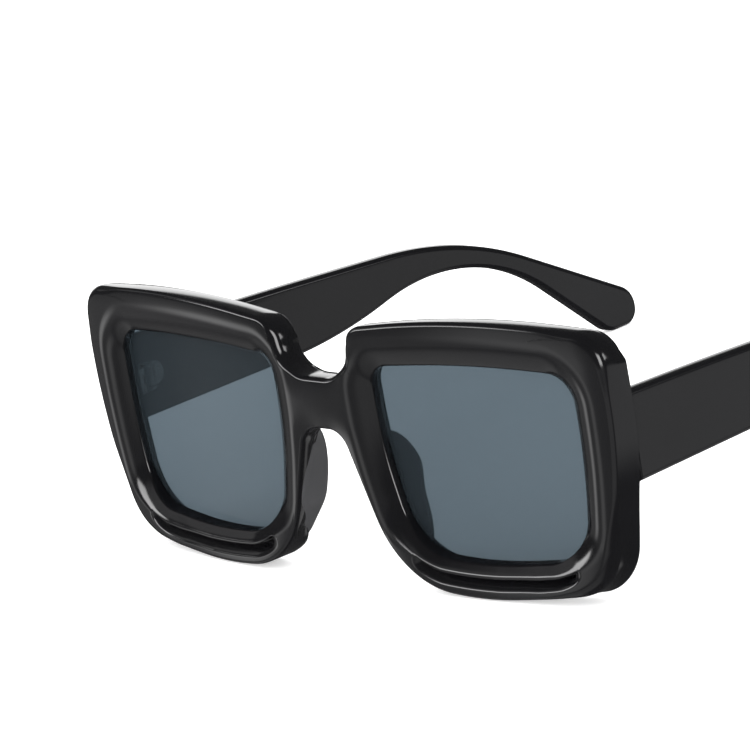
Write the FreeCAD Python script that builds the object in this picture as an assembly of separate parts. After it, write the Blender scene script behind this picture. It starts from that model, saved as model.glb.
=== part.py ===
import FreeCAD, Part
import math
import os

# Oversized square sunglasses: moulded front, tinted lenses, nose pads, wide folding temples and barrel hinges.
# Everything is drawn as worn: +X to the wearer's left, +Y back to the ears, +Z up, Y = 0 at the middle of
# the front face and Z = 0 near the bottom of the rims. The finished pieces are then tipped together by
# rest_tilt, so that the rim bottoms and the temple tips stand on the floor at Z = 0. Millimetres, degrees.

# Front
opening_width = 49.6
opening_height = 38.2
opening_gap = 28.6
rim_side = 9.4
rim_top = 8.8
rim_bottom = 6.4
front_thickness = 6.7
front_radius = 447.0
front_edge_round = 1.0
back_edge_round = 0.8
bridge_top = 40.7
bridge_height = 10.2
notch_top_width = 16.4
notch_bottom_width = 10.3
dish_bevel = 3.4

# Bottom groove under each lens
groove_height = 2.7
groove_depth = 1.5
groove_lip = 1.75

# Lenses
lens_setback = 3.8
lens_thickness = 2.0
lens_bite = 0.9

# Nose pads
pad_radius = 3.65
pad_seat = 0.2

# Temples
temple_reach = 149.2
temple_height = 17.9
temple_top = 40.45
temple_thickness = 3.6
temple_inset = 0.75
temple_splay = 1.1
temple_edge_round = 0.7
rest_tilt = 2.0

# Hinges
barrel_radius = 1.5
barrel_height = 1.6
pin_radius = 0.6
pin_head_radius = 1.15
pin_head_height = 0.5
pin_slot_width = 0.3
pin_slot_depth = 0.25
pin_to_front = 2.6
leaf_thickness = 0.8
leaf_web = 1.5
front_leaf_width = 3.0
temple_leaf_length = 5.6
rivet_radius = 0.6
rivet_length = 2.2
rivet_head_radius = 0.8
rivet_head_height = 0.25
leaf_proud = 0.3

# Clearances
seat_gap = 0.05
barrel_gap = 0.1
pin_gap = 0.03
temple_gap = 0.3
butt_gap = 0.12
overrun = 5.0

# Outline tables: across and up as shares of the sizes they follow, then the rounding of the corner as a
# share of the shorter run beside it.
rim_corner_shares = (
    (0.141, 0.960, 0.40),
    (0.559, 1.031, 0.70),
    (1.002, 0.980, 0.27),
    (1.0092, 0.552, 0.50),
    (0.919, 0.041, 0.30),
    (0.505, -0.011, 0.36),
    (0.2095, 0.0225, 0.61),
)
notch_top_round_share = 0.52
notch_bottom_round_share = 0.33
opening_corner_shares = (
    (-0.006, 0.969, 0.27),
    (0.518, 1.021, 0.66),
    (1.006, 0.992, 0.31),
    (1.008, 0.542, 0.55),
    (0.940, 0.016, 0.33),
    (0.478, -0.010, 0.50),
    (0.087, 0.021, 0.42),
    (-0.002, 0.568, 0.50),
)
groove_corner_shares = (
    (0.09, 2.00, 0.48),
    (0.44, 1.02, 0.70),
    (0.95, 1.50, 0.48),
    (0.99, 0.70, 0.48),
    (0.44, 0.00, 0.70),
    (0.13, 0.64, 0.48),
)
temple_upper_shares = (
    (0.302, 0.053, 0.50),
    (0.691, 0.215, 0.38),
    (1.000, 1.614, 0.48),
)
temple_lower_shares = (
    (0.709, 0.298, 0.607),
    (0.442, 0.905, 0.340),
)
tip_land_share = 0.943
tip_heel_round_share = 0.48
tip_toe_round_share = 0.25
pad_top_shares = (-0.042, 0.440)
pad_bottom_shares = (0.063, 0.090)

# Worked-out places
half_front = opening_gap / 2 + opening_width + rim_side
front_height = rim_bottom + opening_height + rim_top
back_radius = front_radius - front_thickness
lens_radius = front_radius - lens_setback
opening_left = opening_gap / 2
temple_outer = half_front - temple_inset
temple_inner = temple_outer - temple_thickness
hinge_height = temple_top - temple_height / 2
pin_x = temple_inner - temple_gap - barrel_radius
leaf_height = 3 * barrel_height + 2 * barrel_gap
leaf_end_y = temple_leaf_length - leaf_height / 2
Z_UP = FreeCAD.Vector(0, 0, 1)
Y_BACK = FreeCAD.Vector(0, 1, 0)
X_LEFT = FreeCAD.Vector(1, 0, 0)


def curve_depth(radius, x):
    """Y of a front-parallel cylinder of this radius at a distance x from the middle."""
    return front_radius - math.sqrt(radius**2 - x**2)


pin_y = curve_depth(back_radius, pin_x) + pin_to_front


def front_point(x, z):
    """A point of an outline drawn across and up, as seen from the front."""
    return FreeCAD.Vector(x, 0, z)


def side_point(y, z):
    """A point of an outline drawn back and up, as seen from the side."""
    return FreeCAD.Vector(0, y, z)


def rounded_wire(corners, to_point):
    """Closed wire of straight runs with a tangent arc at each corner (a, b, rounding share)."""
    points = [to_point(a, b) for a, b, share in corners]
    count = len(points)
    starts = []
    ends = []
    arcs = []
    for i in range(count):
        corner = points[i]
        into = corner - points[i - 1]
        out = points[(i + 1) % count] - corner
        reach = corners[i][2] * min(into.Length, out.Length)
        into.normalize()
        out.normalize()
        half_turn = into.getAngle(out) / 2
        start = corner - into * reach
        end = corner + out * reach
        inward = out - into
        inward.normalize()
        radius = reach / math.tan(half_turn)
        middle = corner + inward * (radius / math.cos(half_turn) - radius)
        starts.append(start)
        ends.append(end)
        arcs.append([Part.Arc(start, middle, end).toShape()] if reach > 0 else [])
    edges = []
    for i in range(count):
        edges.append(Part.makeLine(ends[i - 1], starts[i]))
        edges += arcs[i]
    return Part.Wire(edges)


def slab(wire, direction, low, high):
    """Solid between two heights along a direction, with the wire as its section."""
    face = Part.Face(wire)
    face.translate(direction * low)
    return face.extrude(direction * (high - low))


def behind(radius):
    """Everything behind a front-parallel cylinder of this radius, as tall as the part needs."""
    height = front_height + 2 * overrun
    return Part.makeCylinder(radius, height, FreeCAD.Vector(0, front_radius, -overrun), Z_UP)


def front_slab(wire):
    """Solid with a front outline as its section, deep enough to cut the whole front."""
    return slab(wire, Y_BACK, -overrun, curve_depth(back_radius, half_front) + overrun)


def upright(radius, x, y, low, high):
    """Round bar along Z."""
    return Part.makeCylinder(radius, high - low, FreeCAD.Vector(x, y, low), Z_UP)


def block(x, y, z):
    """Box between two corners, each given as a (low, high) pair."""
    corner = FreeCAD.Vector(x[0], y[0], z[0])
    return Part.makeBox(x[1] - x[0], y[1] - y[0], z[1] - z[0], corner)


def mirrored(shape):
    """The same piece on the wearer's right."""
    return shape.mirror(FreeCAD.Vector(0, 0, 0), X_LEFT)


def rim_outline():
    """Outer outline of the whole front: two rims and the bridge between them."""
    half = [(notch_top_width / 2, bridge_top, notch_top_round_share)]
    half += [(half_front * u, front_height * v, share) for u, v, share in rim_corner_shares]
    half += [(notch_bottom_width / 2, bridge_top - bridge_height, notch_bottom_round_share)]
    other = [(-x, z, share) for x, z, share in reversed(half)]
    return rounded_wire(half + other, front_point)


def opening_outline():
    """Outline of the lens opening on the wearer's left."""
    corners = []
    for u, v, share in opening_corner_shares:
        corners.append((opening_left + opening_width * u, rim_bottom + opening_height * v, share))
    return rounded_wire(corners, front_point)


def groove_outline():
    """Outline of the channel under the lens: a bowed band with round ends above the bottom lip."""
    corners = []
    for u, v, share in groove_corner_shares:
        corners.append((opening_left + opening_width * u, groove_lip + groove_height * v, share))
    return rounded_wire(corners, front_point)


def lens_edge(growth):
    """Outline of the lens, or of its pocket when growth is the gap around it."""
    return opening_outline().makeOffset2D(lens_bite + growth)


def lens_plate(growth):
    """Curved plate that fills the lens groove, larger all round by growth."""
    front = behind(lens_radius + growth)
    back = behind(lens_radius - lens_thickness - growth)
    return front_slab(lens_edge(growth)).common(front).cut(back)


def edges_on(shape, radius):
    """Edges of a shape that lie on the front-parallel cylinder of this radius, with their middles."""
    found = []
    for edge in shape.Edges:
        middle = edge.valueAt((edge.FirstParameter + edge.LastParameter) / 2)
        from_axis = math.hypot(middle.x, middle.y - front_radius)
        ends = [math.hypot(v.X, v.Y - front_radius) for v in edge.Vertexes]
        if all(abs(r - radius) < seat_gap for r in ends + [from_axis]):
            found.append((edge, middle))
    return found


def in_opening(point):
    """Whether a point seen from the front lies within or on the edge of a lens opening."""
    inside_x = opening_left - lens_bite < abs(point.x) < opening_left + opening_width + lens_bite
    inside_z = rim_bottom - lens_bite < point.z < rim_bottom + opening_height + lens_bite
    return inside_x and inside_z


def dished_front():
    """The front before its fittings: curved slab, openings with dished edges, and softened outlines."""
    body = front_slab(rim_outline()).common(behind(front_radius)).cut(behind(back_radius))
    rim_edges = [edge for edge, middle in edges_on(body, front_radius)]
    body = body.makeFillet(front_edge_round, rim_edges)
    back_edges = [edge for edge, middle in edges_on(body, back_radius)]
    body = body.makeFillet(back_edge_round, back_edges)
    opening = front_slab(opening_outline())
    body = body.cut(opening).cut(mirrored(opening))
    dish_edges = [edge for edge, middle in edges_on(body, front_radius) if in_opening(middle)]
    return body.makeChamfer(dish_bevel, dish_edges)


def front_frame(fittings):
    """The moulded front with lens grooves, bottom grooves and seats for the fittings given."""
    body = dished_front()
    groove = front_slab(groove_outline()).cut(behind(front_radius - groove_depth))
    pocket = lens_plate(seat_gap)
    for cutter in [groove, pocket] + fittings:
        body = body.cut(cutter).cut(mirrored(cutter))
    return body


def nose_pad():
    """Rounded pad on the back of the nasal rim: a capsule cut off by the back of the front."""
    top_u, top_v = pad_top_shares
    low_u, low_v = pad_bottom_shares
    y = curve_depth(back_radius, opening_left) + pad_seat
    top = FreeCAD.Vector(opening_left + opening_width * top_u, y, rim_bottom + opening_height * top_v)
    low = FreeCAD.Vector(opening_left + opening_width * low_u, y, rim_bottom + opening_height * low_v)
    run = top - low
    capsule = Part.makeCylinder(pad_radius, run.Length, low, run)
    capsule = capsule.fuse([Part.makeSphere(pad_radius, top), Part.makeSphere(pad_radius, low)])
    return capsule.removeSplitter().common(behind(back_radius))


def floor_height(y):
    """Height of the floor under the glasses as worn, where it touches the back edge of the rims' bottoms."""
    lowest = rim_outline().BoundBox.ZMin
    touch_x = half_front * rim_corner_shares[5][0]
    touch_y = curve_depth(back_radius, touch_x) - back_edge_round
    tilt = math.radians(rest_tilt)
    lift = back_edge_round * (1 - 1 / math.cos(tilt))
    return lowest + lift + (y - touch_y) * math.tan(tilt)


def temple_outline():
    """Side outline of a temple: wide at the hinge, drawn in before the ear, with a bent paddle tip."""
    corners = [(0, temple_top, 0)]
    for u, v, share in temple_upper_shares:
        corners.append((temple_reach * u, temple_top - temple_height * v, share))
    land = temple_reach * tip_land_share
    corners.append((temple_reach, floor_height(temple_reach), tip_heel_round_share))
    corners.append((land, floor_height(land), tip_toe_round_share))
    for u, v, share in temple_lower_shares:
        corners.append((temple_reach * u, temple_top - temple_height * v, share))
    corners.append((0, temple_top - temple_height, 0))
    return corners


def splayed(shape):
    """Turns a temple piece in about the hinge pin, as the temples close in towards the ears."""
    turned = shape.copy()
    turned.rotate(FreeCAD.Vector(pin_x, pin_y, 0), Z_UP, temple_splay)
    return turned


def barrel_span(level):
    """Lowest and highest Z of a hinge barrel: level 1 is the upper, 0 the middle and -1 the lower one."""
    centre = hinge_height + level * (barrel_height + barrel_gap)
    return (centre - barrel_height / 2, centre + barrel_height / 2)


def barrel(level):
    """One hinge barrel round the pin, without its bore."""
    low, high = barrel_span(level)
    return upright(barrel_radius, pin_x, pin_y, low, high)


def pin_bore():
    """Bore for the hinge screw through all barrels."""
    low = barrel_span(-1)[0] - overrun
    high = barrel_span(1)[1] + overrun
    return upright(pin_radius + pin_gap, pin_x, pin_y, low, high)


def front_plate(growth):
    """Flat plate of the front leaf, let into the back of the front."""
    back = curve_depth(back_radius, pin_x)
    x = (pin_x - front_leaf_width / 2 - growth, pin_x + front_leaf_width / 2 + growth)
    y = (back - leaf_thickness - growth, back + leaf_proud + growth)
    z = (hinge_height - leaf_height / 2 - growth, hinge_height + leaf_height / 2 + growth)
    return block(x, y, z)


def front_rivet_shank(growth):
    """Shank of the rivet that holds the front leaf."""
    back = curve_depth(back_radius, pin_x) + leaf_proud
    start = FreeCAD.Vector(pin_x, back, hinge_height)
    return Part.makeCylinder(rivet_radius + growth, rivet_length + growth, start, Y_BACK * -1)


def front_rivet():
    """Rivet of the front leaf: shank and flat head."""
    back = curve_depth(back_radius, pin_x) + leaf_proud
    start = FreeCAD.Vector(pin_x, back, hinge_height)
    head = Part.makeCylinder(rivet_head_radius, rivet_head_height, start, Y_BACK)
    return front_rivet_shank(0).fuse(head).removeSplitter()


def front_leaf():
    """Front half of the hinge: plate, and webs that carry the upper and lower barrels."""
    back = curve_depth(back_radius, pin_x)
    leaf = front_plate(0)
    for level in (-1, 1):
        web = block((pin_x - leaf_web / 2, pin_x + leaf_web / 2), (back, pin_y), barrel_span(level))
        leaf = leaf.fuse([web, barrel(level)])
    return leaf.cut(pin_bore()).cut(front_rivet_shank(seat_gap)).removeSplitter()


def temple_plate(growth):
    """Round-ended plate of the temple leaf, flush in the temple's inner face."""
    x = (temple_inner, temple_inner + leaf_thickness + growth)
    y = (pin_y - leaf_web / 2 - growth, pin_y + leaf_end_y)
    z = (hinge_height - leaf_height / 2 - growth, hinge_height + leaf_height / 2 + growth)
    start = FreeCAD.Vector(x[0], y[1], hinge_height)
    end = Part.makeCylinder(leaf_height / 2 + growth, x[1] - x[0], start, X_LEFT)
    return block(x, y, z).fuse(end).removeSplitter()


def temple_rivet_shank(growth):
    """Shank of the rivet that holds the temple leaf."""
    start = FreeCAD.Vector(temple_inner, pin_y + leaf_end_y, hinge_height)
    return Part.makeCylinder(rivet_radius + growth, rivet_length + growth, start, X_LEFT)


def temple_rivet():
    """Rivet of the temple leaf: shank and flat head."""
    start = FreeCAD.Vector(temple_inner, pin_y + leaf_end_y, hinge_height)
    head = Part.makeCylinder(rivet_head_radius, rivet_head_height, start, X_LEFT * -1)
    return splayed(temple_rivet_shank(0).fuse(head).removeSplitter())


def temple_leaf():
    """Temple half of the hinge: plate, web and the middle barrel."""
    x = (pin_x, temple_inner + leaf_thickness / 2)
    web = block(x, (pin_y - leaf_web / 2, pin_y + leaf_web / 2), barrel_span(0))
    leaf = temple_plate(0).fuse([web, barrel(0)])
    return splayed(leaf.cut(pin_bore()).cut(temple_rivet_shank(seat_gap)).removeSplitter())


def hinge_screw():
    """Hinge pin with a slotted head that stands on the upper barrel."""
    top = barrel_span(1)[1]
    head = upright(pin_head_radius, pin_x, pin_y, top, top + pin_head_height)
    x = (pin_x - pin_head_radius, pin_x + pin_head_radius)
    y = (pin_y - pin_slot_width / 2, pin_y + pin_slot_width / 2)
    slot = block(x, y, (top + pin_head_height - pin_slot_depth, top + pin_head_height))
    return upright(pin_radius, pin_x, pin_y, barrel_span(-1)[0], top).fuse(head.cut(slot)).removeSplitter()


def temple():
    """A temple with softened edges, its end cut to the back of the front and its hinge seat let in."""
    body = slab(rounded_wire(temple_outline(), side_point), X_LEFT, temple_inner, temple_outer)
    long_edges = [edge for edge in body.Edges if edge.BoundBox.XLength < seat_gap]
    body = body.makeFillet(temple_edge_round, long_edges)
    body = body.cut(temple_plate(seat_gap)).cut(temple_rivet_shank(seat_gap))
    return splayed(body).common(behind(back_radius - butt_gap))


def left_pieces():
    """The pieces that come in pairs, as they are on the wearer's left."""
    return {
        "lens": lens_plate(0),
        "nose_pad": nose_pad(),
        "temple": temple(),
        "front_hinge": front_leaf(),
        "temple_hinge": temple_leaf(),
        "hinge_screw": hinge_screw(),
        "front_rivet": front_rivet(),
        "temple_rivet": temple_rivet(),
    }


def all_pieces():
    """Every piece of the glasses by name, as worn."""
    pieces = {"front_frame": front_frame([front_plate(seat_gap), front_rivet_shank(seat_gap)])}
    for name, shape in left_pieces().items():
        pieces[name + "_left"] = shape
        pieces[name + "_right"] = mirrored(shape)
    return pieces


def on_floor(shape):
    """Tips a piece back with the rest of the glasses until they stand on the floor."""
    tipped = shape.copy()
    tipped.rotate(FreeCAD.Vector(0, 0, 0), X_LEFT, -rest_tilt)
    tipped.translate(Z_UP * (-floor_height(0) * math.cos(math.radians(rest_tilt))))
    return tipped


def main():
    """Builds every piece, stands the glasses on the floor about the middle of their box and saves them."""
    os.makedirs("parts", exist_ok=True)
    pieces = {name: on_floor(shape) for name, shape in all_pieces().items()}
    front_y = pieces["front_frame"].optimalBoundingBox(False, False).YMin
    tip_y = pieces["temple_left"].optimalBoundingBox(False, False).YMax
    for name, shape in pieces.items():
        shape.translate(Y_BACK * (-(front_y + tip_y) / 2))
        shape.exportStep(os.path.join("parts", name + ".step"))


if __name__ == "__main__":
    main()
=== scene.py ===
"""Visual model of oversized square sunglasses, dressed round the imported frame."""
import logging
import math
from dataclasses import dataclass
from enum import Enum
from typing import Any, Self

import bmesh
import bpy
import numpy as np
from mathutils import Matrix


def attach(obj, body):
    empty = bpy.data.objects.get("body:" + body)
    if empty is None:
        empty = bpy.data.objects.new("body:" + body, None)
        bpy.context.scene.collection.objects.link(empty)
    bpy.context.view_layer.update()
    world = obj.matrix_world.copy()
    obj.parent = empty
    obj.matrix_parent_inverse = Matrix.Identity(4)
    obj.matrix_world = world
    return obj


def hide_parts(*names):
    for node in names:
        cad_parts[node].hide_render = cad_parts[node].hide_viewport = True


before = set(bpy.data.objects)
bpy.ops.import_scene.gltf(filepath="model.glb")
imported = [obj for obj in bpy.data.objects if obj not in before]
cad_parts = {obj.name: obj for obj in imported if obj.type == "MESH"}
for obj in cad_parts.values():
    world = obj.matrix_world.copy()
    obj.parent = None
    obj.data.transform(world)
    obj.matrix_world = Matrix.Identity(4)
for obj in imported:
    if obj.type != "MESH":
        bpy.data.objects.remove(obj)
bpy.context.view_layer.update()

Array = np.ndarray
Sockets = dict[str | int, Any]
Object = bpy.types.Object
Material = bpy.types.Material
Row = tuple[float, ...]
Pair = tuple[float, float]
Triple = tuple[float, float, float]
Colour = tuple[float, float, float, float]
MM = 0.001
WELD = 2e-6
ON_SEAM = 1e-3
TINY = 1e-12
ARC_STEPS = 28
OPENING_CORNERS = 8
HALF_CORNERS = 9
MIRROR = np.array([-1, 1, 1])
WHITE: Colour = (1, 1, 1, 1)
BLACK: Colour = (0, 0, 0, 1)
log = logging.getLogger("sunglasses")


def path_length(points: Array) -> Array:
    """Length walked to each point of an open path."""
    return np.concatenate([[0], np.cumsum(np.linalg.norm(np.diff(points, axis=0), axis=1))])


def along(values: Array, walk: Array, at: Array) -> Array:
    """Values (n, 2) of a path, taken at given lengths by straight interpolation."""
    return np.stack([np.interp(at, walk, values[:, k]) for k in (0, 1)], axis=1)


def unit(ways: Array) -> Array:
    """Vectors (n, 2) brought to length one."""
    return ways / np.linalg.norm(ways, axis=1)[:, None]


def smooth(x: Array) -> Array:
    """Smooth step: 0 below 0, 1 above 1, and 3x^2 - 2x^3 between."""
    t = np.clip(x, 0, 1)
    return t * t * (3 - 2 * t)


def ramp(values: Array, start: float, end: float) -> Array:
    """Smooth step that is 0 at the start and 1 at the end, which may lie below the start."""
    return smooth((values - start) / (end - start))


def grid_quads(rows: int, cols: int, wrap_rows: bool = False, wrap_cols: bool = False) -> Array:
    """Corner indices of the quads of a grid of points stored row by row.

    Formula: a point, its next in the row, and the same two of the next row, round the end where it wraps.

    Args:
        rows: number of rows.
        cols: number of points in a row.
        wrap_rows: whether the last row joins the first.
        wrap_cols: whether each row closes on itself.

    Returns:
        (n, 4) indices.
    """
    r = np.arange(rows if wrap_rows else rows - 1)[:, None]
    c = np.arange(cols if wrap_cols else cols - 1)[None, :]
    r1, c1 = (r + 1) % rows, (c + 1) % cols
    corners = [r * cols + c, r * cols + c1, r1 * cols + c1, r1 * cols + c]
    return np.stack([k + 0 * r + 0 * c for k in corners], axis=-1).reshape(-1, 4)


def surface(name: str, points: Array, quads: Array, caps: list[Array] | None = None) -> Object:
    """Makes a welded, smooth, outward-facing mesh object at the origin.

    Args:
        name: the piece's name.
        points: (n, 3) in metres.
        quads: (m, 4) corner indices; quads that weld to nothing vanish.
        caps: further faces with more corners, such as an end.

    Returns:
        The object, linked to the scene.
    """
    mesh = bpy.data.meshes.new(name)
    faces = quads.tolist() + [cap.tolist() for cap in caps or []]
    mesh.from_pydata(points.reshape(-1, 3).tolist(), [], faces)
    work = bmesh.new()
    work.from_mesh(mesh)
    bmesh.ops.remove_doubles(work, verts=work.verts, dist=WELD)
    bmesh.ops.delete(work, geom=[v for v in work.verts if not v.link_faces], context="VERTS")
    bmesh.ops.recalc_face_normals(work, faces=work.faces)
    work.to_mesh(mesh)
    work.free()
    mesh.polygons.foreach_set("use_smooth", np.ones(len(mesh.polygons), dtype=bool))
    piece = bpy.data.objects.new(name, mesh)
    bpy.context.scene.collection.objects.link(piece)
    return piece


class Side(Enum):
    """The wearer's two sides, with the sign of X there."""

    LEFT = 1
    RIGHT = -1

    @property
    def word(self) -> str:
        """The side's name as the node names end with it."""
        return self.name.lower()

    @property
    def flip(self) -> Array:
        """Factors that bring points of the wearer's left to this side."""
        return np.array([self.value, 1, 1])


@dataclass(frozen=True)
class RestFrame:
    """How the glasses as worn stand on the floor: tipped back a little and centred on their box."""

    tilt: float = 2.0
    back: float = -75.0036
    up: float = 0.5090

    def place(self, worn: Array) -> Array:
        """Turns points as worn, in millimetres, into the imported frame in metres.

        Formula: a turn about X by the tilt, then a shift back and up.

        Args:
            worn: points (..., 3) with Y = 0 at the middle of the front face.

        Returns:
            The same points where the frame holds them.
        """
        c, s = math.cos(math.radians(self.tilt)), math.sin(math.radians(self.tilt))
        x, y, z = np.moveaxis(worn, -1, 0)
        return np.stack([x, y * c + z * s + self.back, z * c - y * s + self.up], axis=-1) * MM


@dataclass(frozen=True)
class Outline:
    """Closed plane curve as points with their outward normals."""

    points: Array
    normals: Array

    @classmethod
    def rounded(cls, corners: Array, steps: int = ARC_STEPS) -> Self:
        """Straight runs with a tangent arc at each corner.

        Formula: the arc's reach is a share of the shorter run beside the corner, its radius is the reach
        over the tangent of half the turn, and its centre lies on the corner's bisector.

        Args:
            corners: (n, 3) across, up and rounding share.
            steps: points on each arc.

        Returns:
            The outline, with outward normals whichever way round the corners go.
        """
        spot = corners[:, :2]
        run_in = spot - np.roll(spot, 1, axis=0)
        run_out = np.roll(spot, -1, axis=0) - spot
        go_in, go_out = unit(run_in), unit(run_out)
        cross = go_in[:, 0] * go_out[:, 1] - go_in[:, 1] * go_out[:, 0]
        turn = np.arctan2(cross, (go_in * go_out).sum(axis=1))
        reach = corners[:, 2] * np.minimum(np.linalg.norm(run_in, axis=1), np.linalg.norm(run_out, axis=1))
        radius = reach / np.tan(np.abs(turn) / 2)
        centre = spot + unit(go_out - go_in) * (radius / np.cos(turn / 2))[:, None]
        way = np.sign(turn.sum())
        side = np.stack([go_in[:, 1], -go_in[:, 0]], axis=1) * way
        first = np.arctan2(side[:, 1], side[:, 0])
        angle = first[:, None] + turn[:, None] * np.linspace(0, 1, steps)
        normal = np.stack([np.cos(angle), np.sin(angle)], axis=-1)
        bend = np.sign(turn) * way
        points = centre[:, None] + (bend * radius)[:, None, None] * normal
        return cls(points.reshape(-1, 2), normal.reshape(-1, 2))

    def dense(self, count: int) -> Self:
        """The same curve at even steps along its length, by straight interpolation.

        Args:
            count: number of points.

        Returns:
            The curve with that many points.
        """
        points, normals = (np.vstack([k, k[:1]]) for k in (self.points, self.normals))
        walk = path_length(points)
        at = np.linspace(0, walk[-1], count, endpoint=False)
        return type(self)(along(points, walk, at), unit(along(normals, walk, at)))

    def grown(self, distance: float) -> Array:
        """Points of the curve moved out along its normals by a distance."""
        return self.points + distance * self.normals

    def distance(self, spots: Array) -> Array:
        """Distance of points from the curve, as the least distance to its straight pieces.

        Args:
            spots: (n, 2) points.

        Returns:
            (n,) distances, never negative.
        """
        start, run = self.points, np.roll(self.points, -1, axis=0) - self.points
        gap = spots[:, None] - start
        share = np.clip((gap * run).sum(-1) / np.maximum((run * run).sum(-1), TINY), 0, 1)
        return np.linalg.norm(gap - share[..., None] * run, axis=-1).min(axis=1)


@dataclass(frozen=True)
class Zone:
    """A part of the front with soft limits, each the (start, end) of a ramp across or up."""

    across: Pair
    up: tuple[Pair, ...]

    def share(self, spots: Array) -> Array:
        """How far points belong to the zone, as the product of its ramps.

        Args:
            spots: (n, 2) points, across and up.

        Returns:
            (n,) shares from 0 to 1.
        """
        part = ramp(spots[:, 0], *self.across)
        for rise in self.up:
            part = part * ramp(spots[:, 1], *rise)
        return part


class Wire:
    """An output socket on which Python operators add Math nodes."""

    def __init__(self, graph: "Graph", socket: bpy.types.NodeSocket) -> None:
        """Keeps the socket and the graph that it belongs to."""
        self.graph = graph
        self.socket = socket

    def __add__(self, other: "Wire | float") -> "Wire":
        """Sum."""
        return self.graph.math("ADD", self, other)

    __radd__ = __add__

    def __mul__(self, other: "Wire | float") -> "Wire":
        """Product."""
        return self.graph.math("MULTIPLY", self, other)

    __rmul__ = __mul__

    def __pow__(self, other: "Wire | float") -> "Wire":
        """Power."""
        return self.graph.math("POWER", self, other)

    def __rpow__(self, other: float) -> "Wire":
        """Power of a number."""
        return self.graph.math("POWER", other, self)


@dataclass(frozen=True)
class Grain:
    """A noise pattern: its scale to the metre, its layers of detail and its stretch along the axes."""

    scale: float
    detail: float
    stretch: Triple = (1, 1, 1)


class Graph:
    """Node tree of one material or surround, filled through one method."""

    def __init__(self, owner: Material | bpy.types.World) -> None:
        """Starts the owner's tree with no node in it.

        Args:
            owner: the material or world whose nodes these are.
        """
        self.owner = owner
        owner.use_nodes = True
        self.tree = owner.node_tree
        self.tree.nodes.clear()

    def node(self, kind: str, settings: dict[str, Any] | None = None,
             sockets: Sockets | None = None) -> bpy.types.Node:
        """Adds a node, sets its settings first and then its sockets.

        Args:
            kind: node type, such as ShaderNodeTexNoise.
            settings: attributes of the node.
            sockets: input name or number to a value, or to a Wire to link.

        Returns:
            The node.
        """
        made = self.tree.nodes.new(kind)
        for key, value in (settings or {}).items():
            setattr(made, key, value)
        for key, value in (sockets or {}).items():
            if isinstance(value, Wire):
                self.tree.links.new(value.socket, made.inputs[key])
            else:
                made.inputs[key].default_value = value
        return made

    def wire(self, node: bpy.types.Node, output: str | int = 0) -> Wire:
        """Wraps one output of a node."""
        return Wire(self, node.outputs[output])

    def math(self, operation: str, a: Wire | float, b: Wire | float) -> Wire:
        """Adds a Math node."""
        return self.wire(self.node("ShaderNodeMath", {"operation": operation}, {0: a, 1: b}))

    def noise(self, grain: Grain) -> Wire:
        """Noise between 0 and 1 on Object coordinates, stretched along the axes by a Mapping node.

        Args:
            grain: scale, detail and stretch of the pattern.

        Returns:
            The noise.
        """
        spot = self.wire(self.node("ShaderNodeTexCoord"), "Object")
        spot = self.wire(self.node("ShaderNodeMapping", None, {"Vector": spot, "Scale": grain.stretch}))
        return self.wire(self.node("ShaderNodeTexNoise", None,
                                   {"Vector": spot, "Scale": grain.scale, "Detail": grain.detail}))

    def tint(self, amount: Wire, low: Colour, high: Colour) -> Wire:
        """Colour between two colours, by the colour sockets of a Mix node, which have numbers."""
        return self.wire(self.node("ShaderNodeMix", {"data_type": "RGBA"}, {0: amount, 6: low, 7: high}), 2)

    def bump(self, height: Wire, strength: float, distance: float) -> Wire:
        """Normal from a height."""
        return self.wire(self.node("ShaderNodeBump", None,
                                   {"Height": height, "Strength": strength, "Distance": distance}))

    def finish(self, sockets: Sockets) -> Material:
        """Ends the graph in a Principled shader with these sockets.

        Args:
            sockets: input name to a value or a Wire.

        Returns:
            The material.
        """
        skin = self.node("ShaderNodeBsdfPrincipled", None, sockets)
        self.node("ShaderNodeOutputMaterial", None, {"Surface": self.wire(skin)})
        return self.owner


@dataclass(frozen=True)
class GlossBlack:
    """Polished black moulded plastic with faint flow in the colour and handling marks in the gloss."""

    name: str
    dark: Colour = (0.0035, 0.0035, 0.004, 1)
    light: Colour = (0.006, 0.006, 0.007, 1)
    roughness: float = 0.10
    marks: float = 0.05
    ripple: float = 0.012
    ripple_height: float = 0.0005
    refraction: float = 1.49
    flow_grain: Grain = Grain(55.0, 3.0)
    mark_grain: Grain = Grain(420.0, 4.0, (1, 1, 3))
    ripple_grain: Grain = Grain(160.0, 1.0)

    def material(self) -> Material:
        """Builds the finish: slow flow tints it, fine marks dull it, a slow ripple bends its reflections.

        Returns:
            The material.
        """
        graph = Graph(bpy.data.materials.new(self.name))
        flow = graph.noise(self.flow_grain)
        marks = graph.noise(self.mark_grain) ** 2.0
        ripple = graph.noise(self.ripple_grain)
        return graph.finish({
            "Base Color": graph.tint(flow, self.dark, self.light),
            "Roughness": marks * self.marks + self.roughness,
            "IOR": self.refraction,
            "Normal": graph.bump(ripple, self.ripple, self.ripple_height),
        })


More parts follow.
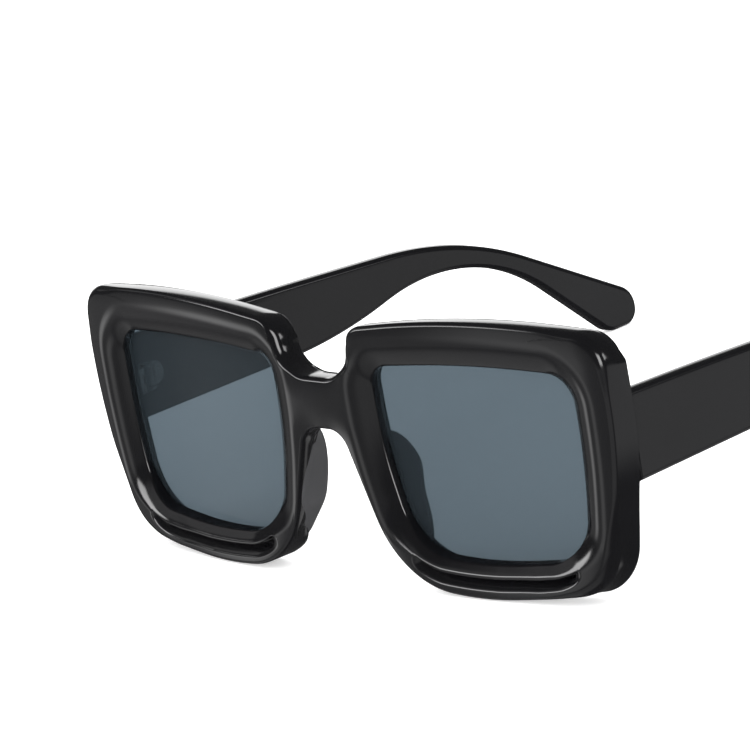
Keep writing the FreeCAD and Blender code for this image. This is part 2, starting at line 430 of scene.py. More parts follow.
@dataclass(frozen=True)
class TintedLens:
    """Clear grey sheet: its tint takes most of the light and its faces stay polished."""

    name: str
    low: Colour = (0.076, 0.100, 0.118, 1)
    high: Colour = (0.080, 0.105, 0.124, 1)
    roughness: float = 0.02
    wipe: float = 0.04
    refraction: float = 1.1
    shine: float = 0.05
    clear: float = 0.84
    cloud_grain: Grain = Grain(18.0, 1.0)
    wipe_grain: Grain = Grain(40.0, 2.0, (1, 1, 3))

    def material(self) -> Material:
        """Builds the finish: a slow change of tint and faint wipe marks in the gloss.

        Returns:
            The material.
        """
        graph = Graph(bpy.data.materials.new(self.name))
        cloud = graph.noise(self.cloud_grain)
        wipe = graph.noise(self.wipe_grain) ** 2.0
        return graph.finish({
            "Base Color": graph.tint(cloud, self.low, self.high),
            "Roughness": wipe * self.wipe + self.roughness,
            "IOR": self.refraction,
            "Specular IOR Level": self.shine,
            "Transmission Weight": self.clear,
        })


@dataclass(frozen=True)
class PlatedMetal:
    """Bright plated stamping with fine drawn lines and duller hollows."""

    name: str
    line_grain: Grain
    low: Colour = (0.46, 0.46, 0.45, 1)
    high: Colour = (0.70, 0.70, 0.68, 1)
    roughness: float = 0.16
    hollows: float = 0.16
    line_dull: float = 0.1
    relief: float = 0.08
    relief_height: float = 0.0001
    hollow_grain: Grain = Grain(300.0, 2.0)

    def material(self) -> Material:
        """Builds the finish: drawn lines change its tint, gloss and relief.

        Returns:
            The material.
        """
        graph = Graph(bpy.data.materials.new(self.name))
        drawn = graph.noise(self.line_grain)
        hollow = graph.noise(self.hollow_grain)
        return graph.finish({
            "Base Color": graph.tint(drawn, self.low, self.high),
            "Roughness": hollow * self.hollows + drawn * self.line_dull + self.roughness,
            "Metallic": 1.0,
            "Normal": graph.bump(drawn, self.relief, self.relief_height),
        })


@dataclass(frozen=True)
class PaleFloor:
    """Plain white studio sweep."""

    name: str = "pale_floor"
    low: Colour = (0.90, 0.90, 0.90, 1)
    high: Colour = (0.92, 0.92, 0.92, 1)
    roughness: float = 0.7
    dull: float = 0.1
    glow: float = 0.5
    cloud_grain: Grain = Grain(2.0, 2.0)

    def material(self) -> Material:
        """Builds the finish: white with a hardly seen cloud.

        Returns:
            The material.
        """
        graph = Graph(bpy.data.materials.new(self.name))
        cloud = graph.noise(self.cloud_grain)
        return graph.finish({
            "Base Color": graph.tint(cloud, self.low, self.high),
            "Roughness": cloud * self.dull + self.roughness,
            "Specular IOR Level": 0.0,
            "Emission Color": WHITE,
            "Emission Strength": self.glow,
        })


@dataclass
class Piece:
    """What all sub-assemblies share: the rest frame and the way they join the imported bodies."""

    rest: RestFrame

    def join(self, piece: Object, material: Material, body: str, slot: str, *nodes: str) -> None:
        """Dresses a piece and lets it ride a body and stand for nodes.

        Args:
            piece: the new piece.
            material: its finish.
            body: the body it moves with.
            slot: the record's material slot name, which is not used.
            nodes: the nodes it stands for.
        """
        self.dress(piece, material)
        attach(piece, body)
        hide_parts(*nodes)
        log.info("%s: %d faces on %s", piece.name, len(piece.data.polygons), body)

    def dress(self, piece: Object, material: Material) -> None:
        """Gives a piece its material."""
        piece.data.materials.clear()
        piece.data.materials.append(material)


@dataclass
class FrontFrame(Piece):
    """The moulded front: two square rims with soft dished edges, the bridge, and a groove under each lens.

    Sizes are in millimetres. The groove's half width and its distance from the opening are given at groove_x.
    Fields that end with rows say where the section's rows lie, as shares of the stretch that they name, some
    with a share of the depth, and those that end with turns give the degrees of a round.
    """

    opening_width: float = 49.6
    opening_height: float = 38.2
    opening_gap: float = 28.6
    rim_side: float = 9.4
    rim_top: float = 8.8
    rim_bottom: float = 6.4
    thickness: float = 6.7
    radius: float = 447.0
    edge_round: float = 0.75
    notch_round: float = 2.0
    corner_round: float = 2.2
    high_share: float = 0.5
    corner_flare: float = 0.7
    back_round: float = 0.35
    nose_round: float = 2.7
    draft: float = 0.9
    draft_from: Pair = (-0.1, 0.4)
    nose_draft: float = 1.0
    bridge_top: float = 40.7
    bridge_height: float = 10.2
    notch_top_width: float = 16.4
    notch_bottom_width: float = 10.3
    low_corner: Zone = Zone((52, 64), ((22, 8),))
    high_corner: Zone = Zone((58, 66), ((40, 48),))
    notch_zone: Zone = Zone((17, 13), ((41.5, 44.5), (51, 48)))
    nose_zone: Zone = Zone((20, 15), ((30.5, 27.5), (3, 9)))
    bridge_zone: Zone = Zone((9, 5), ((26, 30), (44, 41)))
    dish_width: float = 6.5
    dish_depth: float = 2.26
    lip_round: float = 0.3
    land_depth: float = 1.15
    land_bend: float = 0.35
    land_from: Pair = (15.0, 7.0)
    crown_run: float = 5.0
    crown_drop: float = 0.25
    groove_half: Row = (1.55, 1.55, 1.55, 1.55, 1.5, 1.35, 1.1)
    groove_deep: float = 2.3
    groove_ends: Pair = (20.9, 60.0)
    groove_x: Row = (20.0, 23.0, 27.0, 40.0, 54.0, 57.5, 61.0)
    groove_off: Row = (4.0, 3.85, 3.8, 3.9, 4.6, 5.4, 6.9)
    groove_line: float = 2.9
    groove_low: float = 3.0
    groove_least: float = 0.1
    groove_part: float = 6.0
    groove_fade: float = 4.0
    groove_room: Triple = (0.12, 0.64, 0.92)
    valley_foot: float = 0.115
    valley_bend: float = 0.66
    seat_depth: float = 3.78
    seat_reach: float = 0.55
    seat_back: float = 4.9
    lens_back: float = 5.0
    flare: float = 2.8
    flare_room: float = 0.9
    flare_least: float = 0.3
    counts: tuple[int, ...] = (46, 58, 46, 52, 74, 64, 62, 20, 16, 20, 30)
    nasal_heights: Row = (30.3, 31.8, 38.3, 40.0)
    dense_counts: tuple[int, int] = (1600, 4000)
    wall_depths: Row = (3.5, 3.2)
    dish_rows: Row = (0, 0.008, 0.02, 0.04, 0.07, 0.11, 0.16, 0.21, 0.26, 0.34, 0.46, 0.6, 0.72, 0.8, 0.84,
                      0.88, 0.94)
    cut_rows: tuple[Pair, ...] = (
        (0, 0.0), (0.02, 0.003), (0.045, 0.015), (0.07, 0.041), (0.083, 0.069), (0.089, 0.109), (0.094, 0.4),
        (0.099, 0.7), (0.104, 0.92), (0.115, 1.0))
    floor_rows: Row = (0.17, 0.25, 0.34, 0.43, 0.52, 0.6, 0.66, 0.7, 0.74, 0.78, 0.81, 0.84, 0.87, 0.9, 0.93,
                       0.96, 1)
    face_rows: Row = (0.08, 0.18, 0.3, 0.44, 0.58, 0.72, 0.86)
    edge_turns: Row = (0, 8, 16, 24, 32, 40, 48, 56, 64, 72, 80, 86, 90)
    side_rows: Row = (0.12, 0.25, 0.4, 0.55, 0.7, 0.85)
    back_turns: Row = (90, 80, 70, 60, 50, 40, 30, 20, 10, 0)
    back_rows: Row = (0.25, 0.5, 0.75)
    flare_rows: tuple[Pair, ...] = ((1.0, 0.0), (0.66, 0.08), (0.36, 0.28), (0.12, 0.6), (0.0, 1.0))

    def opening(self) -> Outline:
        """Outline of the lens opening on the wearer's left, from corners as shares of its size.

        Returns:
            The outline, across and up.
        """
        shares = np.array([
            (-0.006, 0.969, 0.27), (0.518, 1.021, 0.66), (1.004, 0.985, 0.33), (1.008, 0.542, 0.55),
            (0.957, 0.057, 0.43), (0.478, -0.003, 0.50), (0.092, 0.032, 0.49), (-0.002, 0.568, 0.50)])
        scale = np.array([self.opening_width, self.opening_height, 1])
        return Outline.rounded(shares * scale + np.array([self.opening_gap / 2, self.rim_bottom, 0]))

    def half_width(self) -> float:
        """Half the nominal width of the front."""
        return self.opening_gap / 2 + self.opening_width + self.rim_side

    def outline(self) -> Outline:
        """Outer outline of the whole front, both rims and the bridge, from corners as shares of its size.

        Returns:
            The outline, from the top of the notch round the left half and then round its mirror image.
        """
        shares = np.array([
            (0.141, 0.960, 0.40), (0.559, 1.031, 0.70), (1.002, 0.980, 0.27), (1.0090, 0.552, 0.50),
            (0.919, 0.041, 0.30), (0.505, -0.0107, 0.36), (0.2095, 0.0225, 0.61)])
        tall = self.rim_bottom + self.opening_height + self.rim_top
        rim = shares * np.array([self.half_width(), tall, 1])
        top = np.array([[self.notch_top_width / 2, self.bridge_top, 0.52]])
        low = np.array([[self.notch_bottom_width / 2, self.bridge_top - self.bridge_height, 0.33]])
        side = np.vstack([top, rim, low])
        return Outline.rounded(np.vstack([side, side[::-1] * MIRROR]))

    def columns(self) -> tuple[Outline, Outline, Array]:
        """Points of the lens opening and of the half front's border that face each other.

        Formula: both curves are cut at landmarks, which are the middles of matching corners and four heights
        on the nasal side for the bridge, and even steps between landmarks give the pairs. On the middle of
        the bridge the border is the straight seam between the two edge rounds.

        Returns:
            The opening's points, the border's points, and a mask of the columns on the seam.
        """
        opening, outline = self.opening(), self.outline()
        turn = -(ARC_STEPS // 2)
        inner, inner_way = (np.roll(k, turn, axis=0) for k in (opening.points, opening.normals))
        inner, inner_way = (np.vstack([k, k[:1]]) for k in (inner, inner_way))
        low = self.bridge_top - self.bridge_height
        half = slice(HALF_CORNERS * ARC_STEPS)
        border = np.vstack([[[0, self.bridge_top]], outline.points[half], [[0, low]]])
        border_way = np.vstack([[[0, 1]], outline.normals[half], [[0, -1]]])
        walk_in, walk_out = path_length(inner), path_length(border)
        last = OPENING_CORNERS - 1
        rise = slice((last - 1) * ARC_STEPS + ARC_STEPS // 4, None)
        nasal = np.interp(self.nasal_heights, inner[rise, 1], walk_in[rise])
        marks_in = np.concatenate([walk_in[np.arange(last) * ARC_STEPS], nasal, walk_in[-1:]])
        marks = walk_out[1 + np.arange(HALF_CORNERS) * ARC_STEPS + ARC_STEPS // 2]
        foot = (marks[-1], walk_out[-1])
        runs_out = [*zip(marks[1:-1], marks[2:]), foot, None, (0, marks[0]), (marks[0], marks[1])]
        at_in, spots, ways, seams = [], [], [], []
        for index, (run, count) in enumerate(zip(runs_out, self.counts)):
            share = np.arange(count + (run is foot)) / count
            if run is None:
                share = np.arange(1, count) / count
                up = low + self.edge_round + share * (self.bridge_height - 2 * self.edge_round)
                spots.append(np.stack([0 * up, up], axis=1))
                ways.append(np.tile([-1.0, 0.0], (len(up), 1)))
            else:
                at = run[0] + share * (run[1] - run[0])
                spots.append(along(border, walk_out, at))
                ways.append(along(border_way, walk_out, at))
            at_in.append(marks_in[index] + share * (marks_in[index + 1] - marks_in[index]))
            seams.append(np.full(len(share), run is None))
        at = np.concatenate(at_in)
        inside = Outline(along(inner, walk_in, at), unit(along(inner_way, walk_in, at)))
        return inside, Outline(np.vstack(spots), unit(np.vstack(ways))), np.concatenate(seams)

    def sink(self, inside: Array, outside: Array, round_: Array, land: Array, width: Array) -> Array:
        """Depth of the front's skin under its face at distances from the opening and from the outer outline.

        Formula: the dish falls to the opening by a parabola, which under the lens soon turns into a straight
        slope, and a quarter round ends it at the lens wall. A quarter round takes the outer edge, and a slow
        square crown leads into that.

        Args:
            inside: distance from the opening.
            outside: distance from the outer outline.
            round_: radius of the outer edge's round.
            land: share of the straight slope under the lens.
            width: the dish's width.

        Returns:
            The depth.
        """
        fall = np.clip(1 - inside / width, 0, 1)
        bend = 1 + (self.land_bend - 1) * land
        slope = 1 / (1 - bend / 2)
        dish = slope * np.where(fall < bend, fall**2 / (2 * bend), fall - bend / 2)
        deep = self.dish_depth + (self.land_depth - self.dish_depth) * land
        lip = np.clip((self.lip_round - inside) / self.lip_round, 0, 1)
        edge = np.clip((round_ - outside) / round_, 0, 1)
        crown = np.clip(1 - outside / self.crown_run, 0, 1)
        return (deep * dish + self.lip_round * (1 - np.sqrt(1 - lip**2)) + round_ * (1 - np.sqrt(1 - edge**2))
                + self.crown_drop * crown**2)

    def groove(self, inside: Outline, room: Array) -> tuple[Array, Array, Array, Array]:
        """Distances of the groove's edges from the opening, how far it is open, and the land left above it.

        Formula: half the groove's width is a quarter circle over the last stretch at each end, where its
        floor also rises by a smooth step; past the ends the two edges part again so that the rows stay even.

        Args:
            inside: the opening's points.
            room: width left for the dish at each column.

        Returns:
            Upper edge, lower edge, opening share and land, each (columns,).
        """
        spot = inside.grown(self.groove_line)
        walk = path_length(spot)
        low = np.flatnonzero(spot[:, 1] < self.rim_bottom + self.groove_low)
        low = low[np.argsort(spot[low, 0])]
        nose, ear = np.interp(self.groove_ends, spot[low, 0], walk[low])
        past = np.maximum(np.maximum(ear - walk, walk - nose), 0)
        half = np.interp(spot[:, 0], self.groove_x, self.groove_half)
        least, (near, middle, far) = self.groove_least, self.groove_room
        width = np.maximum(half * np.sqrt(np.clip(1 - (past / half) ** 2, 0, 1)), least)
        width = np.maximum(width, least + (half - least) * smooth((past - half) / self.groove_part))
        mid = np.minimum(np.interp(spot[:, 0], self.groove_x, self.groove_off), middle * room)
        upper = np.maximum(mid - width, near * room)
        lower = np.minimum(mid + width, far * room)
        open_ = (smooth((nose + half - walk) / self.groove_fade)
                 * smooth((walk - ear + half) / self.groove_fade))
        return upper, lower, open_, np.maximum(mid - half, near * room)

    def valley(self, share: float) -> float:
        """Groove's depth under its steep upper wall, as a share of its most, at a share of its width.

        Formula: a straight slope up from the foot of the wall, then a parabola that meets the face flat.

        Args:
            share: place between the upper edge, 0, and the lower edge, 1.

        Returns:
            The depth's share.
        """
        foot, bend = self.valley_foot, self.valley_bend
        fall = 2 / (1 + bend - 2 * foot)
        return 1 - fall * (share - foot) if share < bend else fall * (1 - share) ** 2 / (2 * (1 - bend))

    def section(self, inside: Outline, border: Outline, seam: Array) -> tuple[Array, Array]:
        """Places and depths of all rows of the half front's closed section.

        Formula: rows run from the lens seat up the wall, over the dish and the groove to the face, round the
        outer edge, along the outer wall, round the back edge, over the back face and down its flare to the
        seat again. Rows near the opening are moved out along its normals, rows near the border are moved in
        along the border's normals, and face rows lie on straight lines between.

        Args:
            inside: the opening's points.
            border: the facing points of the border.
            seam: which columns lie on the middle of the bridge.

        Returns:
            Places (rows, columns, 2) and depths (rows, columns).
        """
        opening = self.opening().dense(self.dense_counts[0])
        outline = self.outline().dense(self.dense_counts[1])
        reach = np.where(seam, 0, 1.0)
        places: list[Array] = []
        depths: list[Array] = []

        def add(place: Array, depth: Array | float) -> None:
            """Adds a row."""
            places.append(place)
            depths.append(np.broadcast_to(depth, seam.shape))

        def off(distance: Array | float) -> Array:
            """The opening's points moved out."""
            return inside.points + np.broadcast_to(distance, seam.shape)[:, None] * inside.normals

        def moved_in(distance: Array) -> Array:
            """The border's points moved in, apart from those on the seam."""
            return border.points - (distance * reach)[:, None] * border.normals

        def skin(place: Array, cut: float = 0.0, inset: Array | None = None) -> None:
            """Adds a row on the front skin.

            Args:
                place: the row's points.
                cut: share of the groove's depth by which it is cut down.
                inset: distance from the outer outline, where it is known.
            """
            outside = outline.distance(place)
            if inset is not None:
                outside = np.where(seam, outside, inset)
            deep = self.sink(opening.distance(place), outside, edge, land, width)
            add(place, deep + cut * open_ * self.groove_deep)

        edge, draft, back = self.edges(border)
        rim = moved_in(edge)
        room = np.linalg.norm(rim - inside.points, axis=1)
        upper, lower, open_, foot = self.groove(inside, room)
        land = ramp(inside.points[:, 1], *self.land_from)
        width = self.dish_width + (foot - self.dish_width) * land
        for depth in (self.seat_depth, *self.wall_depths):
            add(off(0), depth)
        for share in self.dish_rows:
            skin(off(upper * share))
        for share, cut in self.cut_rows:
            skin(off(upper + (lower - upper) * share), cut)
        for share in self.floor_rows:
            skin(off(upper + (lower - upper) * share), self.valley(share))
        edge_in = off(lower)
        for share in self.face_rows:
            skin(edge_in + (rim - edge_in) * share)
        for turn in np.radians(self.edge_turns):
            inset = edge * (1 - math.sin(turn))
            skin(moved_in(inset), inset=inset)
        edge_deep = edge + self.crown_drop
        for share in self.side_rows:
            add(moved_in(draft * share**2), edge_deep + share * (self.thickness - back - edge_deep))
        for turn in np.radians(self.back_turns):
            deep = self.thickness - back * (1 - math.cos(turn))
            add(moved_in(draft + back * (1 - math.sin(turn))), np.where(seam, self.thickness, deep))
        back = back + draft
        last = moved_in(back)
        gap = np.linalg.norm(border.points - inside.points, axis=1) - back
        flare = np.maximum(np.minimum(self.flare, self.flare_room * gap), self.seat_reach + self.flare_least)
        for share in self.back_rows:
            add(last + (off(flare) - last) * share, self.thickness)
        for share, lift in self.flare_rows:
            add(off(self.seat_reach + (flare - self.seat_reach) * share),
                self.thickness - lift * (self.thickness - self.lens_back))
        for depth in (self.seat_back, self.seat_depth):
            add(off(self.seat_reach), depth)
        return np.stack(places), np.stack(depths)

    def edges(self, border: Outline) -> tuple[Array, Array, Array]:
        """Round of the front edge, lean of the outer wall towards the back and round of the back edge.

        Formula: the front round swells at the outer corners and in the notch; walls that look up and those
        beside the nose lean in, and the wall of the low outer corner leans out. The back round is small
        outside and wide beside the nose, and on the bridge it ends just where the front's does.

        Args:
            border: the border's points.

        Returns:
            Front round, lean and back round, each (columns,).
        """
        zones = (self.low_corner, self.high_corner, self.notch_zone, self.nose_zone, self.bridge_zone)
        low, high, notch, nose, bridge = (zone.share(border.points) for zone in zones)
        front = (self.edge_round + (self.corner_round - self.edge_round) * (low + self.high_share * high)
                 + (self.notch_round - self.edge_round) * notch)
        draft = (self.draft * ramp(border.normals[:, 1], *self.draft_from) - self.corner_flare * low
                 + self.nose_draft * nose)
        back = self.back_round + (self.nose_round - self.back_round) * nose
        return front, draft, back + (self.edge_round - draft - back) * bridge

    def bowed(self, x: Array, depth: Array) -> Array:
        """Y of the bowed front at a depth under its face: a cylinder of the front's radius less the depth."""
        return self.radius - np.sqrt((self.radius - depth) ** 2 - x**2)

    def build(self) -> Object:
        """Carries a closed section round the left lens, mirrors that half and welds both at the bridge.

        Returns:
            The front as one piece.
        """
        places, depths = self.section(*self.columns())
        x, z = np.where(np.abs(places[..., 0]) < ON_SEAM, 0, places[..., 0]), places[..., 1]
        worn = np.stack([x, self.bowed(x, depths), z], axis=-1)
        quads = grid_quads(*x.shape, wrap_rows=True, wrap_cols=True)
        quads = quads[~(x.reshape(-1)[quads] == 0).all(axis=1)]
        points = self.rest.place(worn).reshape(-1, 3)
        both = np.vstack([points, points * MIRROR])
        return surface("front", both, np.vstack([quads, quads[:, ::-1] + len(points)]))


@dataclass
class Lens(Piece):
    """A bowed tinted lens whose edge is held in the rim."""

    front: FrontFrame
    setback: float = 3.8
    thickness: float = 1.2
    bite: float = 0.6
    across: int = 64
    up: int = 52

    def patch(self) -> Array:
        """Plane grid that fills the lens outline, as a Coons patch of its four sides.

        Formula: the sum of the two ruled surfaces between opposite sides, less the bilinear surface of the
        four corners.

        Returns:
            (up, across, 2) points, across and up.
        """
        curve = self.front.opening().grown(self.bite)
        cut = [corner * ARC_STEPS + ARC_STEPS // 2 for corner in range(0, OPENING_CORNERS, 2)]
        sides = []
        for start, end, count in zip(cut, cut[1:] + [cut[0] + len(curve)], (self.across, self.up) * 2):
            run = curve[np.arange(start, end + 1) % len(curve)]
            walk = path_length(run)
            sides.append(along(run, walk, np.linspace(0, walk[-1], count)))
        top, right, bottom, left = sides[0], sides[1][::-1], sides[2][::-1], sides[3]
        u = np.linspace(0, 1, self.across)[None, :, None]
        v = np.linspace(0, 1, self.up)[:, None, None]
        ruled = (1 - v) * bottom[None] + v * top[None] + (1 - u) * left[:, None] + u * right[:, None]
        corner = ((1 - u) * (1 - v) * bottom[0] + u * (1 - v) * bottom[-1]
                  + (1 - u) * v * top[0] + u * v * top[-1])
        return ruled - corner

    def build(self, side: Side) -> Object:
        """Bows the patch to the lens's two faces and closes it round the edge.

        Args:
            side: which lens.

        Returns:
            The lens.
        """
        flat = self.patch()
        x, z = flat[..., 0], flat[..., 1]
        faces = [np.stack([x, self.front.bowed(x, np.full(x.shape, depth)), z], axis=-1)
                 for depth in (self.setback, self.setback + self.thickness)]
        points = self.rest.place(np.stack(faces)).reshape(-1, 3) * side.flip
        quads = grid_quads(self.up, self.across)
        index = np.arange(self.up * self.across).reshape(self.up, self.across)
        loop = np.concatenate([index[0, :-1], index[:-1, -1], index[-1, :0:-1], index[:0:-1, 0]])
        ahead = np.roll(loop, -1)
        count = index.size
        edge = np.stack([loop, ahead, ahead + count, loop + count], axis=1)
        return surface(f"tinted_lens_{side.word}", points, np.vstack([quads, quads[:, ::-1] + count, edge]))


@dataclass
class NosePad(Piece):
    """A rounded pad moulded on the back of the nasal rim."""

    centre: Triple = (14.0, 6.6, 17.4)
    lean: float = 19.0
    half_length: float = 12.4
    half_width: float = 4.5
    high_width: float = 3.2
    high_from: Pair = (-0.2, 0.5)
    low_taper: float = 1.4
    low_from: Pair = (-0.1, -0.8)
    back_depth: float = 2.4
    front_depth: float = 6.0
    front_from: Pair = (0.0, 0.6)
    lens_side: float = 0.2
    square: float = 2.5
    nose_square: float = 7.0
    blunt: float = 2.3
    low_blunt: float = 1.8
    stations: int = 72
    around: int = 96

    def build(self, side: Side) -> Object:
        """Swells a closed pad round a leaning line.

        Formula: the section is an ellipse squared by a power, deeper and squarer to the front on the nose's
        side than on the lens's side, where its upper half is wider; on the nose's side its lower half is
        drawn in. Its size along the line is one less the place to the power blunt, taken to one over blunt,
        with a lower power for the lower half, so that both ends close round.

        Args:
            side: which pad.

        Returns:
            The pad.
        """
        lean = math.radians(self.lean)
        line = np.array([-math.sin(lean), 0, math.cos(lean)])
        across = np.array([-math.cos(lean), 0, -math.sin(lean)])
        t = -np.cos(np.linspace(0, math.pi, self.stations))[:, None]
        blunt = np.where(t > 0, self.blunt, self.low_blunt)
        swell = (1 - np.abs(t) ** blunt) ** (1 / blunt)
        swell[[0, -1]] = 0
        angle = np.linspace(0, 2 * math.pi, self.around, endpoint=False)[None, :]
        c, s = np.cos(angle), np.sin(angle)
        power = 2 / np.where((c > 0) & (s < 0), self.nose_square, self.square)
        c, s = np.sign(c) * np.abs(c) ** power, np.sign(s) * np.abs(s) ** power
        front = self.lens_side + (self.front_depth - self.lens_side) * ramp(c, *self.front_from)
        depth = np.where(s > 0, self.back_depth, front)
        width = self.half_width + np.where(c < 0, self.high_width * ramp(t, *self.high_from),
                                           -self.low_taper * ramp(t, *self.low_from))
        worn = (np.array(self.centre) + self.half_length * t[..., None] * line
                + (width * swell * c)[..., None] * across
                + (swell * s * depth)[..., None] * np.array([0, 1, 0]))
        points = self.rest.place(worn).reshape(-1, 3) * side.flip
        return surface(f"pad_{side.word}", points, grid_quads(self.stations, self.around, wrap_cols=True))


@dataclass
class Temple(Piece):
    """A wide flat temple with softened edges, drawn in before the ear, with a bent paddle tip."""

    front: FrontFrame
    reach: float = 149.2
    height: float = 17.9
    top: float = 40.45
    thickness: float = 3.6
    inset: float = 0.75
    splay: float = 1.1
    edge_round: float = 1.0
    start: float = 11.5
    butt_gap: float = 0.12
    butt_step: float = 0.1
    inner_skim: float = 0.05
    pin: Pair = (67.15, 14.451)
    floor: Pair = (4.701, 4.404)
    stations: int = 440
    arc_steps: int = 60
    turn_rows: int = 8
    face_rows: int = 14

    def runs(self) -> tuple[Array, ...]:
        """Upper and lower edges of the side outline from the front to the tip's end, with their normals.

        Formula: the outline is cut at its first corner, at the middle of the corner where the tip's end meets
        its sole, and at its last corner; each of the two edges is taken at even steps from the start.

        Returns:
            Upper points, upper normals, lower points and lower normals, each (stations, 2), back and up.
        """
        r, h, t = self.reach, self.height, self.top
        corners = np.array([
            (0, t, 0), (r * 0.302, t - h * 0.053, 0.50), (r * 0.691, t - h * 0.215, 0.38),
            (r, t - h * 1.614, 0.48), (r, self.floor[0], 0.48), (r * 0.943, self.floor[1], 0.25),
            (r * 0.709, t - h * 0.298, 0.607), (r * 0.442, t - h * 0.905, 0.34), (0, t - h, 0)])
        steps, sole, last = self.arc_steps, 4, len(corners) - 1
        shape = Outline.rounded(corners, steps)
        middle = sole * steps + steps // 2
        made: list[Array] = []
        for order in (np.arange(steps - 1, middle + 1), np.arange(last * steps, middle - 1, -1)):
            spot, face = shape.points[order], shape.normals[order]
            walk = path_length(spot)
            at = np.linspace(np.interp(self.start, spot[:3, 0], walk[:3]), walk[-1], self.stations)
            made += [along(spot, walk, at), unit(along(face, walk, at))]
        return tuple(made)

    def build(self, side: Side) -> Object:
        """Carries a rounded section along the temple, turns it in and fits its end to the front.

        Formula: at each station the section runs up the outer face, over the top edge by two quarter rounds,
        down the inner face and back under the bottom edge; upper and lower edges meet at the tip.

        Args:
            side: which temple.

        Returns:
            The temple.
        """
        upper, over, lower, under = self.runs()
        outer = self.front.half_width() - self.inset
        inner = outer - self.thickness + self.inner_skim
        r = self.edge_round
        turn = np.radians(np.linspace(0, 90, self.turn_rows))
        face = np.linspace(0, 1, self.face_rows)[1:-1]

        def ring(edge: Array, way: Array, angle: Array, x_from: float, sign: float) -> tuple[Array, Array]:
            """Quarter round at an edge: points (stations, angles, 2) and their X."""
            spot = edge[:, None] + way[:, None] * (r * (np.sin(angle) - 1))[None, :, None]
            return spot, np.broadcast_to(x_from - sign * r * (1 - np.cos(angle)), spot.shape[:2])

        def flat(low: Array, high: Array, x: float) -> tuple[Array, Array]:
            """Flat face between two edges."""
            spot = low[:, None] + (high - low)[:, None] * face[None, :, None]
            return spot, np.full(spot.shape[:2], x)

        high, deep = upper - r * over, lower - r * under
        parts = [
            flat(deep, high, outer),
            ring(upper, over, turn, outer, 1), ring(upper, over, turn[::-1], inner, -1),
            flat(high, deep, inner),
            ring(lower, under, turn, inner, -1), ring(lower, under, turn[::-1], outer, 1)]
        back_up = np.concatenate([spot for spot, x in parts], axis=1)
        x = np.concatenate([x for spot, x in parts], axis=1)
        angle = math.radians(self.splay)
        dx, dy = x - self.pin[0], back_up[..., 0] - self.pin[1]
        px = self.pin[0] + dx * math.cos(angle) - dy * math.sin(angle)
        py = self.pin[1] + dx * math.sin(angle) + dy * math.cos(angle)
        butt = self.front.bowed(px, np.full(px.shape, self.front.thickness + self.butt_gap))
        py = np.where(np.arange(len(py))[:, None] == 0, butt, np.maximum(py, butt + self.butt_step))
        worn = np.stack([px, py, back_up[..., 1]], axis=-1)
        rows, cols = px.shape
        points = self.rest.place(worn).reshape(-1, 3) * side.flip
        quads = grid_quads(rows, cols, wrap_cols=True)
        return surface(f"side_arm_{side.word}", points, quads, [np.arange(cols)])


@dataclass
class Hinges(Piece):
    """The metal hinge leaves, screws and rivets, which keep their solids."""

    leaves: tuple[str, ...] = ("front_hinge", "temple_hinge")
    fasteners: tuple[str, ...] = ("hinge_screw", "front_rivet", "temple_rivet")
    drawn: Grain = Grain(2600.0, 3.0, (1, 0.06, 1))
    turned: Grain = Grain(2600.0, 3.0, (1, 1, 0.05))

    def build(self) -> None:
        """Dresses the leaves in drawn plating and the fasteners in turned steel."""
        plate = PlatedMetal("nickel_plate", self.drawn).material()
        steel = PlatedMetal("turned_steel", self.turned).material()
        for names, metal in ((self.leaves, plate), (self.fasteners, steel)):
            for name in names:
                for side in Side:
                    self.dress(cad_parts[f"{name}_{side.word}"], metal)
                    log.info("%s_%s dressed in %s", name, side.word, metal.name)


@dataclass(frozen=True)
class Card:
    """A soft panel round the glasses that is seen only in their gloss.

    Angles are in degrees; azimuth 0 is in front of the glasses and 90 on their left.
    """

    name: str
    azimuth: float
    elevation: float
    half_width: float
    half_height: float
    radiance: float
    soft: float = 0.4
    away: float = 2.0
    middle: Triple = (0, 0, 0.025)
    count: int = 33

    def build(self) -> None:
        """Hangs the panel.

        Formula: a patch of a sphere about the glasses, even steps of azimuth across and of elevation up; its
        glow is the product of two smooth steps that rise from the sides over the soft share of the half
        sizes, and it is clear where it does not glow.
        """
        u, v = np.meshgrid(np.linspace(-1, 1, self.count), np.linspace(-1, 1, self.count))
        a = np.radians(self.azimuth + u * self.half_width)
        e = np.radians(self.elevation + v * self.half_height)
        way = np.stack([np.sin(a) * np.cos(e), -np.cos(a) * np.cos(e), np.sin(e)], axis=-1)
        glow = smooth((1 - np.abs(u)) / self.soft) * smooth((1 - np.abs(v)) / self.soft)
        points = way * self.away + np.array(self.middle)
        panel = surface(self.name, points, grid_quads(self.count, self.count))
        level = panel.data.attributes.new("glow", "FLOAT", "POINT")
        level.data.foreach_set("value", glow.reshape(-1).astype(np.float32))
        graph = Graph(bpy.data.materials.new(self.name))
        shine = graph.wire(graph.node("ShaderNodeAttribute", {"attribute_name": "glow"}), "Fac")
        panel.data.materials.append(graph.finish({
            "Base Color": BLACK, "Specular IOR Level": 0.0, "Alpha": shine,
            "Emission Color": WHITE, "Emission Strength": self.radiance,
        }))
        panel.visible_camera = panel.visible_diffuse = False
        panel.visible_transmission = panel.visible_shadow = False


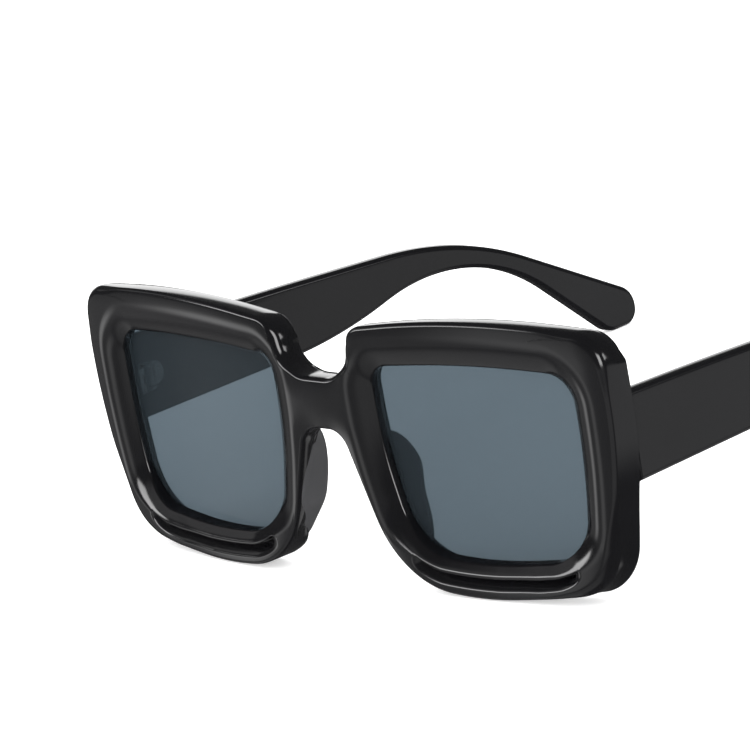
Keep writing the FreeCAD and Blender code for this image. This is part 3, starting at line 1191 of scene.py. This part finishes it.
@dataclass
class Studio:
    """White sweep, soft panels and the camera at the photograph's angle."""

    camera_place: Triple = (0.821085, -0.750971, 0.331418)
    camera_turn: Triple = (74.38418, 10.70414, 46.86474)
    lens: float = 279.076
    clip: Pair = (0.01, 50)
    floor_reach: float = 6.0
    floor_count: int = 9
    fill: float = 1.7
    gloss_fill: float = 0.06
    cards: tuple[Card, ...] = (
        Card("back_card", -131, 4, 34, 10, 1.7, 0.4),
        Card("rim_card", -42, 8, 16, 8, 7.5, 0.4),
        Card("left_card", -57, -15, 9, 10, 1.9, 0.9),
        Card("front_card", -31, -14, 10, 18, 1.0, 0.9),
        Card("face_card", -50, -18, 45, 16, 0.3, 0.5, 2.6),
        Card("floor_card", -40, -50, 70, 22, 0.4, 0.5, 3.0),
        Card("near_card", 35, -18, 60, 16, 0.5, 0.5, 2.6),
        Card("right_card", 118, 17, 16, 9, 6.0, 0.4),
        Card("low_card", 130, -17, 34, 14, 0.55, 0.6),
        Card("under_card", 165, -46, 24, 10, 0.7, 0.5),
        Card("camera_card", 58, 13, 16, 16, 9.0, 0.5),
        Card("high_card", -50, 23, 42, 8, 0.5, 0.5, 2.6),
    )

    def build(self) -> None:
        """Lays the floor, hangs the panels, sets the surround and places the camera."""
        scene, count = bpy.context.scene, self.floor_count
        edge = np.linspace(-self.floor_reach, self.floor_reach, count)
        x, y = np.meshgrid(edge, edge)
        floor = surface("floor", np.stack([x, y, 0 * x], axis=-1), grid_quads(count, count))
        floor.data.materials.append(PaleFloor().material())
        floor.visible_glossy = False
        for card in self.cards:
            card.build()
        self.surround()
        camera = bpy.data.objects.new("camera", bpy.data.cameras.new("camera"))
        camera.data.lens = self.lens
        camera.data.clip_start, camera.data.clip_end = self.clip
        camera.location = self.camera_place
        camera.rotation_euler = [math.radians(v) for v in self.camera_turn]
        scene.collection.objects.link(camera)
        scene.camera = camera
        scene.view_settings.view_transform = "Standard"

    def surround(self) -> None:
        """Sets an even white surround, dimmer where only its reflection is seen."""
        bpy.context.scene.world = bpy.data.worlds.new("surround")
        graph = Graph(bpy.context.scene.world)
        glossy = graph.wire(graph.node("ShaderNodeLightPath"), "Is Glossy Ray")
        level = graph.node("ShaderNodeMapRange", None,
                           {"Value": glossy, "To Min": self.fill, "To Max": self.gloss_fill})
        sky = graph.node("ShaderNodeBackground", None, {"Color": WHITE, "Strength": graph.wire(level)})
        graph.node("ShaderNodeOutputWorld", None, {"Surface": graph.wire(sky)})


def main() -> None:
    """Builds the pieces in order, dresses them and sets the studio."""
    logging.basicConfig(level=logging.INFO, format="%(name)s: %(message)s")
    rest = RestFrame()
    plastic = GlossBlack("black_gloss").material()
    satin = GlossBlack("black_satin", dark=(0.043, 0.043, 0.046, 1), light=(0.055, 0.055, 0.059, 1),
                       roughness=0.42, marks=0.08).material()
    tint = TintedLens("grey_tint").material()
    front = FrontFrame(rest)
    front.join(front.build(), plastic, "front", "frame", "front_frame")
    lens, pad, temple = Lens(rest, front), NosePad(rest), Temple(rest, front)
    for side in Side:
        arm = f"temple_{side.word}"
        lens.join(lens.build(side), tint, "front", "lens", f"lens_{side.word}")
        pad.join(pad.build(side), satin, "front", "pads", f"nose_pad_{side.word}")
        temple.join(temple.build(side), plastic, arm, "frame", arm)
    Hinges(rest).build()
    Studio().build()


if __name__ == "__main__":
    main()
